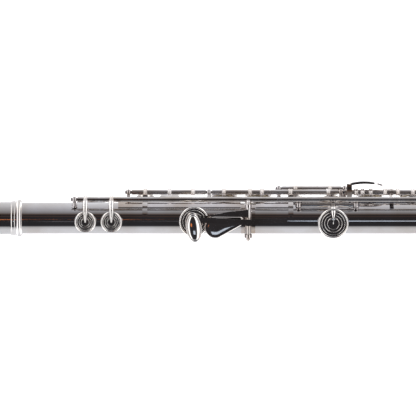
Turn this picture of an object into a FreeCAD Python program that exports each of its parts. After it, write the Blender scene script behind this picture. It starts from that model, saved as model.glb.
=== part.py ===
import FreeCAD, Part
import Sketcher
import math
import os
import re

# A Boehm concert flute in C, in three joints, in millimetres and degrees.
#
# Stations run along the bore from the middle of the embouchure hole (0) towards the foot.
# Angles go round the bore: 0 is the line of the main tone holes, 90 is the player's side.
# In the finished part +X runs from crown to foot, +Y is the tone-hole line, +Z is the player's side,
# and the origin is the middle of the open foot end.

SIZES = [
    # Tubes
    ("foot_end", 592), ("bore_radius", 9.5), ("tube_wall", 0.4), ("slide_clearance", 0.07),
    ("body_tube_start", 147), ("tenon_end", 479), ("foot_tube_start", 479.5),
    ("barrel_start", 113), ("barrel_end", 153), ("barrel_radius", 10.25), ("ring_band_width", 4.3),
    ("ring_span", 7.3), ("ring_bead_start", 5.5),
    ("ring_bead_sunk", 0.25), ("socket_start", 470.6), ("socket_span", 10.7), ("socket_radius", 10.7),
    ("end_ring_width", 4), ("end_ring_radius", 10.6),
    # Head joint
    ("head_start", -45), ("head_end", 145), ("head_bore_narrow", 8.5), ("head_bore_wide", 9.15),
    ("head_parallel_start", 100), ("embouchure_length", 12.2), ("embouchure_width", 10.4),
    ("riser_wall", 1.3), ("lip_top", 14.6), ("lip_end_radius", 10.7), ("lip_thickness", 0.8),
    ("lip_length", 46), ("lip_width", 27), ("stopper_face", -17), ("cork_length", 15),
    ("cork_clearance", 0.03), ("stopper_plate_thickness", 1.6), ("stopper_rod_radius", 2.1),
    ("crown_end", -62), ("crown_plug_length", 8), ("crown_radius", 10.2), ("crown_bead_radius", 10.8),
    # Tone holes
    ("rim_distance", 12.1), ("chimney_wall", 0.45), ("rim_bead", 0.4),
    ("trill_hole", 3.9), ("csharp_hole", 3.5), ("thumb_hole", 6.6), ("upper_hole", 6.8),
    ("lower_hole", 7.4), ("dsharp_trill_station", 193.4), ("d_trill_station", 209.9),
    ("csharp_station", 231), ("thumb_station", 262), ("bflat_station", 281), ("a_station", 303),
    ("g_first_station", 326.5), ("g_second_station", 349.5), ("gsharp_station", 350),
    ("fsharp_station", 374), ("f_station", 401), ("e_station", 428), ("d_station", 457),
    ("foot_dsharp_station", 490), ("foot_csharp_station", 521), ("foot_c_station", 556),
    ("main_line", 0), ("offset_line", -24), ("trill_line", 142.5), ("thumb_line", 140),
    ("gsharp_line", 146),
    # Cups and pads
    ("trill_cup", 6.35), ("csharp_cup", 5.6), ("thumb_cup", 9.05), ("main_cup", 8.7),
    ("gsharp_cup", 9.2), ("foot_cup", 8.9), ("cup_depth", 2.2), ("cup_wall", 0.5),
    ("cup_step_share", 0.79), ("cup_dish_share", 0.62), ("cup_boss_share", 0.4),
    ("cup_step_height", 0.5), ("cup_dish_depth", 0.4), ("cup_boss_height", 0.75),
    ("pad_thickness", 2), ("pad_proud", 0.35), ("pad_clearance", 0.05), ("pad_fit", 0.03),
    # Rods, posts and key tubes
    ("main_distance", 16.4), ("main_angle", 42.5), ("trill_distance", 16.2), ("trill_angle", 86),
    ("offset_distance", 19.5), ("offset_angle", 26), ("gsharp_distance", 12.9), ("gsharp_angle", 92.7),
    ("footnear_distance", 15.6), ("footnear_angle", 56), ("footfar_distance", 15.6),
    ("footfar_angle", -48), ("key_tube", 1.65), ("collar_radius", 2), ("collar_width", 1.3),
    ("steel_radius", 1), ("steel_overhang", 1.4), ("hinge_clearance", 0.04), ("end_play", 0.15),
    ("post_ball", 1.95), ("post_neck", 0.95), ("post_foot", 1.85), ("post_foot_thickness", 0.7),
    ("rib_thickness", 0.6), ("rib_clearance", 0.5), ("rib_low", 36), ("rib_high", 92), ("rib_end", 58),
    # Arms and touches
    ("arm_width", 3.3), ("arm_tip", 0.9), ("arm_thickness", 1.3), ("kicker_distance", 11.35),
    ("kicker_thickness", 1), ("kicker_width", 3.2), ("kicker_end", 131), ("b_kicker_end", 137), ("kicker_hole", 0.55),
    ("b_kicker_station", 323.3), ("trill_arm_distance", 12.8), ("trill_arm_thickness", 0.9),
    ("d_trill_touch", 387.5), ("dsharp_trill_touch", 414.5), ("touch_thickness", 1.2), ("touch_softening", 0.35),
    ("index_touch_station", 246.5), ("index_touch_radius", 6.2),
    ("gsharp_arm_station", 360.5), ("gsharp_touch_length", 21.5), ("gsharp_touch_width", 9),
    ("gsharp_touch_facing", 46), ("gsharp_touch_rise", 1.8), ("gsharp_touch_thickness", 1.5),
    ("gsharp_bend_distance", 15.4),
    ("gsharp_bend_angle", 67), ("gsharp_touch_distance", 21.9), ("gsharp_touch_angle", 55), ("trill_split", 202),
    # Where each rod's posts and tubes stand
    ("trill_first_post", 186.4), ("trill_last_post", 425), ("main_first_post", 220.4),
    ("main_second_post", 271.5), ("main_third_post", 355.3), ("main_last_post", 467.8),
    ("offset_first_post", 316), ("offset_last_post", 357.8), ("gsharp_first_post", 328.2),
    ("gsharp_last_post", 364.4), ("footnear_first_post", 484), ("footnear_last_post", 498.4),
    ("footfar_first_post", 499), ("footfar_last_post", 567),
    # Thumb keys
    ("axle_station", 296.3), ("axle_distance", 13.4), ("axle_radius", 0.9), ("axle_half_length", 11.6),
    ("ear_reach", 9.6), ("ear_width", 2), ("saddle_thickness", 0.7), ("saddle_length", 9),
    ("lever_height", 14.9), ("lever_thickness", 1.3), ("lever_width", 3.4),
    ("hook_height", 19.4), ("axle_split", 2), ("axle_knob", 1.25), ("tail_end", 321),
    # How far each key stands open, and how far the closed keys lift
    ("open_angle", 11), ("csharp_open_angle", 10), ("thumb_open_angle", 3.6),
]

doc = FreeCAD.newDocument("flute")
sheet = doc.addObject("Spreadsheet::Sheet", "Sizes")
for row, (alias, size) in enumerate(SIZES, start=1):
    sheet.set("A%d" % row, alias)
    sheet.set("B%d" % row, str(size))
    sheet.setAlias("B%d" % row, alias)
doc.recompute()

ALIASES = {alias for alias, size in SIZES}
LENGTHWISE = FreeCAD.Rotation(FreeCAD.Vector(0, 1, 0), 90)
ACROSS = FreeCAD.Rotation(FreeCAD.Vector(1, 0, 0), -90)
ROUND_THE_BORE = FreeCAD.Vector(1, 0, 0)
finished = []


def bound(text):
    """Turn a formula of plain size names into one that reads the sheet."""
    return re.sub("[a-z_]+", lambda word: "Sizes." + word[0] if word[0] in ALIASES else word[0], text)


def number(text):
    """The present value of a formula."""
    return float(sheet.evalExpression(bound(text)))


def seat(piece, label, placement=None, start="0"):
    """Name a finished sub-part and bring its stations to the origin at the foot end."""
    piece.Placement = placement or FreeCAD.Placement()
    piece.setExpression("Placement.Base.x", bound("%s - foot_end" % start))
    piece.Label = label
    finished.append(piece)
    return piece


# Primitives and booleans

def primitive(kind, name, sizes, place=("0", "0", "0"), turn=None):
    thing = doc.addObject("Part::" + kind, name)
    for size, text in sizes.items():
        thing.setExpression(size, bound(text))
    if turn is not None:
        thing.Placement = FreeCAD.Placement(FreeCAD.Vector(), turn)
    for axis, text in zip("xyz", place):
        if text != "0":
            thing.setExpression("Placement.Base." + axis, bound(text))
    return thing


def rod(name, radius, first, last, y="0", z="0"):
    """A round bar along the bore, between two stations."""
    height = "(%s) - (%s)" % (last, first)
    return primitive("Cylinder", name, {"Radius": radius, "Height": height}, (first, y, z), LENGTHWISE)


def disc(name, radius, height, place):
    """A round plate that stands on its own +Z."""
    return primitive("Cylinder", name, {"Radius": radius, "Height": height}, place)


def ball(name, radius, place):
    return primitive("Sphere", name, {"Radius": radius}, place)


def block(name, size, place):
    return primitive("Box", name, dict(zip(("Length", "Width", "Height"), size)), place)


def fuse(name, pieces):
    if len(pieces) == 1:
        return pieces[0]
    joined = doc.addObject("Part::MultiFuse", name)
    joined.Shapes = pieces
    return joined


def cut(name, base, tools):
    if not tools:
        return base
    rest = doc.addObject("Part::Cut", name)
    rest.Base = base
    rest.Tool = fuse(name + "_tools", tools)
    return rest


def group(name, pieces):
    """Identical pieces that share one node and stay separate solids."""
    gathered = doc.addObject("Part::Compound", name)
    gathered.Links = pieces
    return gathered


def shaped(name, shape, placement=None):
    """A piece whose outline neither a primitive nor a sketch gives."""
    feature = doc.addObject("Part::Feature", name)
    feature.Shape = shape
    if placement is not None:
        feature.Placement = placement
    return feature


def turned(label, start, outline):
    """A lathe-turned piece: an outline of (distance from start, radius), turned about the bore."""
    body = doc.addObject("PartDesign::Body", label + "_body")
    sketch = body.newObject("Sketcher::SketchObject", label + "_outline")
    plane = [face for face in body.Origin.OriginFeatures if face.Role == "XY_Plane"][0]
    sketch.AttachmentSupport = (plane, [""])
    sketch.MapMode = "FlatFace"
    corners = [FreeCAD.Vector(number(along), number(radius), 0) for along, radius in outline]
    for index, corner in enumerate(corners):
        following = corners[(index + 1) % len(corners)]
        sketch.addGeometry(Part.LineSegment(corner, following), False)
    for index, (along, radius) in enumerate(outline):
        previous = index - 1 if index else len(outline) - 1
        sketch.addConstraint(Sketcher.Constraint("Coincident", previous, 2, index, 1))
        for kind, axis, text in (("DistanceX", -2, along), ("DistanceY", -1, radius)):
            if text == "0":
                sketch.addConstraint(Sketcher.Constraint("PointOnObject", index, 1, axis))
            else:
                size = Sketcher.Constraint(kind, -1, 1, index, 1, number(text))
                place = sketch.addConstraint(size)
                sketch.setExpression("Constraints[%d]" % place, bound(text))
    turning = body.newObject("PartDesign::Revolution", label + "_turning")
    turning.Profile = sketch
    turning.ReferenceAxis = (sketch, ["H_Axis"])
    turning.Angle = 360
    doc.recompute()
    body.setExpression("Placement.Base.x", bound(start))
    return body


def sheath(name, outer, inner, first, last):
    """A plain tube between two stations."""
    return cut(name, rod(name + "_outside", outer, first, last), [rod(name + "_inside", inner, first, last)])


# Placements round the bore

def facing(line):
    """Local +Z points out of the tube along `line`; local +Y goes round towards smaller angles."""
    return FreeCAD.Placement(FreeCAD.Vector(), FreeCAD.Rotation(ROUND_THE_BORE, number(line) - 90))


def on_rod(name, line, lift="0"):
    """Local origin on the axis of rod `name`, turned to face `line` and lifted about the rod."""
    angle = math.radians(number(name + "_angle"))
    distance = number(name + "_distance")
    axis = FreeCAD.Vector(0, distance * math.cos(angle), distance * math.sin(angle))
    return FreeCAD.Placement(axis, FreeCAD.Rotation(ROUND_THE_BORE, number(line) - 90 + number(lift)))


def reach(name, line):
    """How far round from the rod the cup's middle lies, in the rod's own frame."""
    return "-%s_distance * sin(%s - %s_angle)" % (name, line, name)


def above(name, line, distance):
    """A distance from the bore's axis, measured from the rod in its own frame."""
    return "%s - %s_distance * cos(%s - %s_angle)" % (distance, name, line, name)


# Outlines that only Part's own functions give

def arc_strip(start, middle, end, thickness):
    """The face of a bent strip in the YZ plane, of even thickness, along the arc through three points."""
    spine = Part.Arc(*[FreeCAD.Vector(0, across, up) for across, up in (start, middle, end)]).toShape()
    centre = spine.Curve.Center

    def offset(point, change):
        arm = FreeCAD.Vector(0, *point) - centre
        return centre + arm * ((arm.Length + change) / arm.Length)

    outer = [offset(point, thickness / 2) for point in (start, middle, end)]
    inner = [offset(point, -thickness / 2) for point in (start, middle, end)]
    edges = [
        Part.Arc(*outer).toShape(),
        Part.LineSegment(outer[2], inner[2]).toShape(),
        Part.Arc(*reversed(inner)).toShape(),
        Part.LineSegment(inner[0], outer[0]).toShape(),
    ]
    return Part.Face(Part.Wire(Part.__sortEdges__(edges)))


def bulged(start, end, bulge):
    """The middle of an arc that rises `bulge` above the chord, on its +Z side."""
    along = FreeCAD.Vector(0, end[0] - start[0], end[1] - start[1])
    normal = FreeCAD.Vector(0, -along.z, along.y).normalize()
    if normal.z < 0:
        normal = -normal
    return (start[0] + end[0]) / 2 + normal.y * bulge, (start[1] + end[1]) / 2 + normal.z * bulge


def bent_bar(station, start, end, bulge, width, thickness):
    """An even strip of metal along an arc, centred on a station."""
    face = arc_strip(start, bulged(start, end, bulge), end, thickness)
    face.translate(FreeCAD.Vector(station - width / 2, 0, 0))
    return face.extrude(FreeCAD.Vector(width, 0, 0))


def pointed_arm(name, station, end, bulge):
    """A French arm: it leaves the rod, arches on to the cup and narrows to a point at the middle."""
    width = number("arm_width")
    tip = number("arm_tip")
    middle = number(station)
    blank = bent_bar(middle, (0, 0), end, bulge, width, number("arm_thickness"))
    across = end[0]
    back = -math.copysign(4, across)
    plan = [
        (middle - width * 0.42, back), (middle - width / 2, across * 0.35), (middle - tip / 2, across),
        (middle + tip / 2, across), (middle + width / 2, across * 0.35), (middle + width * 0.42, back),
    ]
    outline = Part.makePolygon([FreeCAD.Vector(along, round_, -30) for along, round_ in plan + plan[:1]])
    return shaped(name, blank.common(Part.Face(outline).extrude(FreeCAD.Vector(0, 0, 60))))


def teardrop(name, big, small, bottom):
    """A flat touch round two circles, each (along, across, radius), with softened edges."""
    first = FreeCAD.Vector(big[0], big[1], bottom)
    second = FreeCAD.Vector(small[0], small[1], bottom)
    axis = second - first
    heading = math.atan2(axis.y, axis.x)
    swing = math.acos((big[2] - small[2]) / axis.Length)

    def rim(centre, radius, angle):
        return centre + FreeCAD.Vector(math.cos(angle), math.sin(angle), 0) * radius

    left = heading + swing
    right = heading - swing
    edges = [
        Part.Arc(rim(first, big[2], left), rim(first, big[2], heading + math.pi),
                 rim(first, big[2], right)).toShape(),
        Part.makeLine(rim(first, big[2], right), rim(second, small[2], right)),
        Part.Arc(rim(second, small[2], right), rim(second, small[2], heading),
                 rim(second, small[2], left)).toShape(),
        Part.makeLine(rim(second, small[2], left), rim(first, big[2], left)),
    ]
    plate = Part.Face(Part.Wire(edges)).extrude(FreeCAD.Vector(0, 0, number("touch_thickness")))
    rims = [edge for edge in plate.Edges if edge.BoundBox.ZLength < 0.001]
    return shaped(name, plate.makeFillet(number("touch_softening"), rims))


def oval_touch(name, middle, halves, bottom, turn=0):
    """A small oval plate with softened edges, turned in its own plane."""
    oval = Part.Ellipse(FreeCAD.Vector(middle[0], middle[1], bottom), *halves)
    plate = Part.Face(Part.Wire(oval.toShape())).extrude(FreeCAD.Vector(0, 0, number("touch_thickness")))
    rims = [edge for edge in plate.Edges if edge.Curve.TypeId == "Part::GeomEllipse"]
    plate = plate.makeFillet(number("touch_softening"), rims)
    plate.rotate(FreeCAD.Vector(*middle, bottom), FreeCAD.Vector(0, 0, 1), turn)
    return shaped(name, plate)


# Cups, pads and keys

def cup_parts(name, station, radius, across, rim):
    """The metal of a cup, stepped on top, and the hollows that hold its pad and ring its top."""
    foot = "%s + pad_clearance + pad_proud" % rim
    top = "%s + cup_depth" % foot
    place = (station, across)
    step = "%s * cup_step_share" % radius
    dish = "%s * cup_dish_share" % radius
    boss = "%s * cup_boss_share" % radius
    skirt = disc(name + "_skirt", radius, "cup_depth", place + (foot,))
    raised = disc(name + "_step", step, "cup_step_height", place + (top,))
    knob = disc(name + "_boss", boss, "cup_boss_height", place + (top,))
    ring = cut(name + "_dish", disc(name + "_dish_disc", dish, "1", place + (
        "%s + cup_step_height - cup_dish_depth" % top,)), [
        disc(name + "_dish_core", boss, "1", place + ("%s + cup_step_height - cup_dish_depth" % top,))])
    hollow = disc(name + "_hollow", "%s - cup_wall" % radius, "pad_thickness + pad_fit",
                  place + ("%s + pad_clearance" % rim,))
    return [skirt, raised, knob], [ring], [hollow]


def pad_disc(name, station, radius, across, rim):
    """The felt pad, a loose fit in its cup, just clear of the rim when the key is closed."""
    return disc(name, "%s - cup_wall - pad_fit" % radius, "pad_thickness",
                (station, across, "%s + pad_clearance" % rim))


def cup_top(rod_name, line):
    """Height of the underside of an arm's tip on the cup, in the rod's frame."""
    return above(rod_name, line, "rim_distance + pad_clearance + pad_proud + cup_depth + cup_boss_height")


def hinged_key(label, rod_name, line, lift, tubes, cups, collars=(), extras=(), bulge=1.5, steel=None):
    """A key and its pads. `steel` gives the ends of a steel that is pinned inside and turns with it."""
    name = label
    added = [rod(name + "_tube", "key_tube", first, last) for first, last in tubes]
    added += [rod(name + "_collar", "collar_radius", "%s - collar_width / 2" % at, "%s + collar_width / 2" % at)
              for at in collars]
    grooves = []
    hollows = []
    pads = []
    across = reach(rod_name, line)
    rim = above(rod_name, line, "rim_distance")
    end = (number(across), number(cup_top(rod_name, line)))
    for station, radius in cups:
        metal, rings, pockets = cup_parts(name + "_cup", station, radius, across, rim)
        added += metal
        grooves += rings
        hollows += pockets
        pads.append(pad_disc(name + "_felt", station, radius, across, rim))
    plain = cut(name + "_ringed", fuse(name + "_metal", added), grooves)
    arms = [pointed_arm(name + "_arm", station, end, bulge) for station, radius in cups]
    whole = fuse(name + "_whole", [plain] + arms + list(extras))
    if steel is None:
        hollows.append(rod(name + "_bore", "steel_radius + hinge_clearance", tubes[0][0] + " - 1",
                           tubes[-1][1] + " + 1"))
        key = cut(name, whole, hollows)
    else:
        key = fuse(name, [cut(name + "_open", whole, hollows), rod(name + "_steel", "steel_radius", *steel)])
    place = on_rod(rod_name, line, lift)
    seat(key, label, place)
    kind = "_pads" if len(pads) > 1 else "_pad"
    seat(group(name + "_felts", pads), label.replace("_key", "") + kind, place)
    return key


def kicker(name, station, place, end):
    """The arm that runs round the tube from the main rod to the thumb's side, with its small hole."""
    distance = number("kicker_distance")
    width = number("kicker_width")
    last = number(end)
    angles = [number("main_angle") + 3, (number("main_angle") + last) / 2, last]
    points = [(distance * math.cos(math.radians(angle)), distance * math.sin(math.radians(angle)))
              for angle in angles]
    face = arc_strip(*points, number("kicker_thickness"))
    face.translate(FreeCAD.Vector(number(station) - width / 2, 0, 0))
    band = face.extrude(FreeCAD.Vector(width, 0, 0))
    turn = math.radians(number("main_angle"))
    foot = Part.makeBox(width, number("main_distance") - distance, 1.6,
                        FreeCAD.Vector(number(station) - width / 2, distance, -0.8))
    foot.rotate(FreeCAD.Vector(), ROUND_THE_BORE, math.degrees(turn))
    hole_angle = math.radians(last - 8)
    outward = FreeCAD.Vector(0, math.cos(hole_angle), math.sin(hole_angle))
    hole = Part.makeCylinder(number("kicker_hole"), 6, outward * (distance - 3)
                             + FreeCAD.Vector(number(station), 0, 0), outward)
    return shaped(name, band.fuse(foot).cut(hole), place.inverse())


def post(name, rod_name, station):
    """A ball post on its foot, drilled for the steel, standing on the tube or on its rib."""
    distance = rod_name + "_distance"
    stem = primitive("Cone", name + "_stem", {
        "Radius1": "post_neck * 1.7", "Radius2": "post_neck",
        "Height": "%s - bore_radius" % distance}, (station, "0", "bore_radius"))
    foot = disc(name + "_foot", "post_foot", "tube_wall + rib_thickness + post_foot_thickness",
                (station, "0", "bore_radius"))
    head = ball(name + "_head", "post_ball", (station, "0", distance))
    bore = rod(name + "_drill", "steel_radius + hinge_clearance", "%s - 3" % station, "%s + 3" % station, "0",
               distance)
    tube = rod(name + "_saddle", "bore_radius + tube_wall + rib_thickness", "%s - 4" % station, "%s + 4" % station)
    turned_post = cut(name, fuse(name + "_solid", [stem, foot, head]), [bore, tube])
    turned_post.Placement = facing(rod_name + "_angle")
    return turned_post


# Tubes with drawn tone holes

def radial(thing, station, line, distance):
    """Stand a piece on the bore's axis, pointing out along `line`, from a distance off the axis."""
    thing.Placement = facing(line)
    for axis, text in (("x", station), ("y", "(%s) * cos(%s)"), ("z", "(%s) * sin(%s)")):
        text = text if axis == "x" else text % (distance, line)
        thing.setExpression("Placement.Base." + axis, bound(text))
    return thing


def pierced_tube(name, first, last, holes):
    """A tube with the walls, rolled beads and bores of its tone holes."""
    walls = []
    bores = [rod(name + "_bore", "bore_radius", "%s - 1" % first, "%s + 1" % last)]
    for station, radius, line in holes:
        wall = primitive("Cylinder", name + "_wall", {"Radius": "%s + chimney_wall" % radius,
                                                      "Height": "rim_distance - bore_radius + 3"})
        walls.append(radial(wall, station, line, "bore_radius - 3"))
        bead = primitive("Torus", name + "_bead", {"Radius1": "%s + chimney_wall" % radius,
                                                   "Radius2": "rim_bead"})
        walls.append(radial(bead, station, line, "rim_distance - rim_bead"))
        bore = primitive("Cylinder", name + "_hole", {"Radius": radius, "Height": "rim_distance"})
        bores.append(radial(bore, station, line, "3"))
    return cut(name, fuse(name + "_blank", [rod(name + "_outside", "bore_radius + tube_wall", first, last)]
                          + walls), bores)


BODY_HOLES = [
    ("dsharp_trill_station", "trill_hole", "trill_line"), ("d_trill_station", "trill_hole", "trill_line"),
    ("csharp_station", "csharp_hole", "main_line"), ("thumb_station", "thumb_hole", "thumb_line"),
    ("bflat_station", "upper_hole", "main_line"), ("a_station", "upper_hole", "main_line"),
    ("g_first_station", "upper_hole", "offset_line"), ("g_second_station", "upper_hole", "offset_line"),
    ("gsharp_station", "upper_hole", "gsharp_line"), ("fsharp_station", "upper_hole", "main_line"),
    ("f_station", "lower_hole", "main_line"), ("e_station", "lower_hole", "main_line"),
    ("d_station", "lower_hole", "main_line"),
]
FOOT_HOLES = [
    ("foot_dsharp_station", "lower_hole", "main_line"), ("foot_csharp_station", "lower_hole", "main_line"),
    ("foot_c_station", "lower_hole", "main_line"),
]


def rib(label, first, last, from_line, to_line, holes):
    """A long strap on the tube, between two angles, kept clear of the tone holes beside it."""
    inner = "bore_radius + tube_wall"
    outer = inner + " + rib_thickness"
    angle = number(to_line) - number(from_line)
    height = "(%s) - (%s)" % (last, first)
    wedge = primitive("Cylinder", label + "_wedge", {"Radius": outer, "Height": height})
    wedge.Angle = angle
    start = FreeCAD.Rotation(FreeCAD.Vector(1, 0, 0), number(from_line) - 90)
    wedge.Placement = FreeCAD.Placement(FreeCAD.Vector(), start.multiply(LENGTHWISE).multiply(
        FreeCAD.Rotation(FreeCAD.Vector(0, 0, 1), 180)))
    wedge.setExpression("Placement.Base.x", bound(first))
    tools = [rod(label + "_inside", inner, "%s - 1" % first, "%s + 1" % last)]
    for station, radius, line in holes:
        room = primitive("Cylinder", label + "_room", {
            "Radius": "%s + chimney_wall + rim_bead + rib_clearance" % radius, "Height": "rim_distance"})
        tools.append(radial(room, station, line, "3"))
    tools.append(block(label + "_saddle_room", ("saddle_length + 0.6", "40", "40"),
                       ("axle_station - saddle_length / 2 - 0.3", "-20", "-20")))
    return seat(cut(label + "_strap", wedge, tools), label)


def barrel_ring(start):
    """A flat band with a round bead beside it, soldered round the barrel."""
    band = rod("ring_band", "barrel_radius + 0.55", start, "%s + ring_band_width" % start)
    bead = primitive("Torus", "ring_bead", {"Radius1": "barrel_radius - ring_bead_sunk",
                                               "Radius2": "ring_span - ring_bead_start"},
                     ("%s + ring_bead_start" % start, "0", "0"), LENGTHWISE)
    inside = rod("ring_inside", "barrel_radius", "%s - 5" % start, "%s + 12" % start)
    return cut("barrel_ring", fuse("ring_metal", [band, bead]), [inside])


def body_joint():
    seat(pierced_tube("body", "body_tube_start", "tenon_end", BODY_HOLES), "body_tube")
    barrel = turned("barrel", "barrel_start", [
        ("0", "head_bore_wide + tube_wall + slide_clearance"),
        ("body_tube_start - barrel_start", "head_bore_wide + tube_wall + slide_clearance"),
        ("body_tube_start - barrel_start", "bore_radius + tube_wall"),
        ("barrel_end - barrel_start", "bore_radius + tube_wall"),
        ("barrel_end - barrel_start", "barrel_radius"), ("0", "barrel_radius")])
    seat(barrel, "barrel", start="barrel_start")
    seat(group("barrel_rings_pair", [barrel_ring(at) for at in ("barrel_start", "barrel_end - ring_span")]),
         "barrel_rings")
    rib("left_hand_rib", "csharp_station - 17", "b_kicker_station - 1", "rib_low", "rib_high", BODY_HOLES)
    rib("right_hand_rib", "b_kicker_station - 0.9", "main_last_post + 2.2", "rib_low", "rib_end", BODY_HOLES)


def oval_prism(bottom, top, height):
    """An oval column that points along the tone-hole line from the bore's axis."""
    wires = []
    for level, (half_length, half_width) in ((0, bottom), (height, top)):
        oval = Part.Ellipse(FreeCAD.Vector(0, 0, level), half_length, half_width)
        wires.append(Part.Wire(oval.toShape()))
    column = Part.makeLoft(wires, True)
    column.rotate(FreeCAD.Vector(), ROUND_THE_BORE, -90)
    return column


def barrel_shaped(radius):
    """A solid turned about the bore that swells to `radius` at the embouchure."""
    half = number("lip_length") / 2 + 2
    fall = number("lip_top") - number("lip_end_radius")
    top = Part.Arc(FreeCAD.Vector(-half, radius - fall, 0), FreeCAD.Vector(0, radius, 0),
                   FreeCAD.Vector(half, radius - fall, 0))
    edges = [
        top.toShape(),
        Part.makeLine(FreeCAD.Vector(half, radius - fall, 0), FreeCAD.Vector(half, 0, 0)),
        Part.makeLine(FreeCAD.Vector(half, 0, 0), FreeCAD.Vector(-half, 0, 0)),
        Part.makeLine(FreeCAD.Vector(-half, 0, 0), FreeCAD.Vector(-half, radius - fall, 0)),
    ]
    return Part.Face(Part.Wire(edges)).revolve(FreeCAD.Vector(), ROUND_THE_BORE, 360)


def head_cone():
    """The outside of the tapered part of the head tube."""
    first = number("head_start")
    last = number("head_parallel_start")
    wall = number("tube_wall")
    return Part.makeCone(number("head_bore_narrow") + wall, number("head_bore_wide") + wall, last - first,
                         FreeCAD.Vector(first, 0, 0), ROUND_THE_BORE)


def head_joint():
    """The tapered head tube, its lip plate on the riser, the stopper and the crown."""
    wall = "tube_wall"
    narrow = "head_bore_narrow"
    wide = "head_bore_wide"
    outline = [
        ("0", narrow), ("head_parallel_start - head_start", wide), ("head_end - head_start", wide),
        ("head_end - head_start", wide + " + " + wall),
        ("head_parallel_start - head_start", wide + " + " + wall), ("0", narrow + " + " + wall)]
    tube = turned("head_tube", "head_start", outline)
    hole = number("embouchure_length") / 2, number("embouchure_width") / 2
    blow_hole = oval_prism(hole, (hole[0] + 1.2, hole[1] + 1.2), number("lip_top") + 1)
    seat(cut("head_tube_pierced", tube, [shaped("blow_hole", blow_hole)]), "head_tube")

    lip_top = number("lip_top")
    half_length = number("lip_length") / 2
    underside = barrel_shaped(lip_top - number("lip_thickness"))
    plate = barrel_shaped(lip_top).cut(underside)
    oval = Part.Ellipse(FreeCAD.Vector(), half_length, number("lip_width") / 2).toShape()
    oval.rotate(FreeCAD.Vector(), ROUND_THE_BORE, -90)
    outline = Part.Face(Part.Wire(oval)).extrude(FreeCAD.Vector(0, lip_top + 1, 0))
    seat(shaped("lip_plate_shell", plate.common(outline).cut(blow_hole)), "lip_plate")

    riser_wall = number("riser_wall")
    chimney = oval_prism((hole[0] + riser_wall, hole[1] + riser_wall),
                         (hole[0] + riser_wall + 0.8, hole[1] + riser_wall + 0.8), lip_top)
    seat(shaped("riser_wall_shape", chimney.common(underside).cut(head_cone()).cut(blow_hole)), "riser")

    taper = "(%s - %s) / (head_parallel_start - head_start)" % (wide, narrow)
    back = "(%s + (stopper_face - cork_length - head_start) * %s - cork_clearance)" % (narrow, taper)
    front = "(%s + (stopper_face - head_start) * %s - cork_clearance)" % (narrow, taper)
    cork = turned("head_cork", "stopper_face - cork_length", [
        ("0", "stopper_rod_radius"), ("cork_length", "stopper_rod_radius"), ("cork_length", front), ("0", back)])
    seat(cork, "head_cork", start="stopper_face - cork_length")
    plate_radius = "head_bore_narrow - 1.2"
    stem = rod("stopper_stem", "stopper_rod_radius", "crown_end + crown_plug_length + 4", "stopper_face")
    near_plate = rod("stopper_near_plate", plate_radius, "stopper_face",
                     "stopper_face + stopper_plate_thickness")
    far_plate = rod("stopper_far_plate", plate_radius, "stopper_face - cork_length - stopper_plate_thickness",
                    "stopper_face - cork_length")
    seat(fuse("stopper_metal", [stem, near_plate, far_plate]), "stopper")
    crown = turned("crown", "crown_end", [
        ("0", "0"), ("0", "crown_radius - 3.4"), ("1.6", "crown_radius - 1.2"), ("3.4", "crown_radius"),
        ("6", "crown_radius"), ("6.5", "crown_bead_radius"), ("8.5", "crown_bead_radius"),
        ("9", "crown_radius"), ("head_start - crown_end - 2.5", "crown_radius - 0.4"),
        ("head_start - crown_end - 2", "crown_radius"), ("head_start - crown_end - end_play", "crown_radius"),
        ("head_start - crown_end - end_play", "head_bore_narrow - slide_clearance"),
        ("head_start - crown_end + 3", "head_bore_narrow - slide_clearance"),
        ("head_start - crown_end + 3", "stopper_rod_radius + slide_clearance"),
        ("crown_plug_length", "stopper_rod_radius + slide_clearance"), ("crown_plug_length", "0")])
    seat(crown, "crown", start="crown_end")


def foot_joint():
    """The foot tube, the socket that takes the body's tenon, and the ring at the open end."""
    seat(pierced_tube("foot", "foot_tube_start", "foot_end", FOOT_HOLES), "foot_tube")
    sleeve = "bore_radius + tube_wall"
    socket = turned("foot_socket", "socket_start", [
        ("0", sleeve + " + slide_clearance"), ("foot_tube_start - socket_start", sleeve + " + slide_clearance"),
        ("foot_tube_start - socket_start", sleeve), ("socket_span", sleeve), ("socket_span", "socket_radius - 0.4"),
        ("socket_span - 2", "socket_radius"), ("2.6", "socket_radius"), ("2.2", "socket_radius + 0.5"),
        ("0.4", "socket_radius + 0.5"), ("0", "socket_radius + 0.1")])
    seat(socket, "foot_socket", start="socket_start")
    ring = turned("foot_end_ring", "foot_end - end_ring_width", [
        ("0", sleeve), ("end_ring_width", sleeve), ("end_ring_width", "end_ring_radius - 0.2"),
        ("end_ring_width - 0.4", "end_ring_radius"), ("0.4", "end_ring_radius"), ("0", "end_ring_radius - 0.3")])
    seat(ring, "foot_end_ring", start="foot_end - end_ring_width")


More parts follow.
